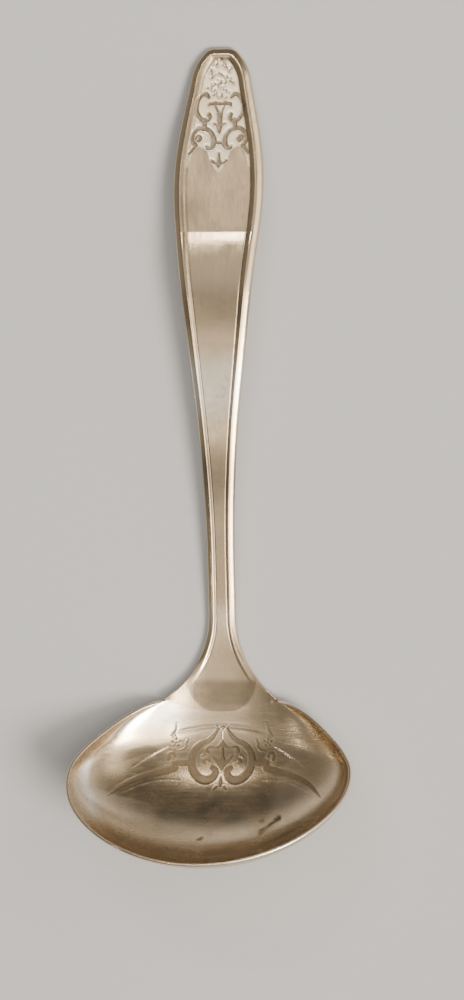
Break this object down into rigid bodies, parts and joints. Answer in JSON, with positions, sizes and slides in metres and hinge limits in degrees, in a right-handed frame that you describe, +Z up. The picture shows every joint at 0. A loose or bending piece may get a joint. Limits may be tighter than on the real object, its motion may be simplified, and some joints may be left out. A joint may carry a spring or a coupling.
{
  "type": "sauce ladle",
  "caption": "Silver sauce ladle with a wide oval bowl set across a long arched handle that has raised borders around a sunk, engraved panel and a soldered seam at the neck.",
  "frame": {"origin": "on the table, under the middle of the ladle's length and width", "axes": "+Y along the handle to its tip, +Z up with the ladle lying bowl up on a table, +X to the right seen from above with the tip away"},
  "size_m": [0.058, 0.1638, 0.0293],
  "materials": {
    "bowl_silver": "worn, finely scratched silver plate with light tarnish",
    "handle_silver": "worn silver plate, tarnish left in the engraving",
    "silver_solder": "dull silver solder, polished flush"
  },
  "bodies": {
    "root": {"bowl": "bowl_silver", "handle": "handle_silver", "solder_seam": "silver_solder"}
  },
  "joints": []
}
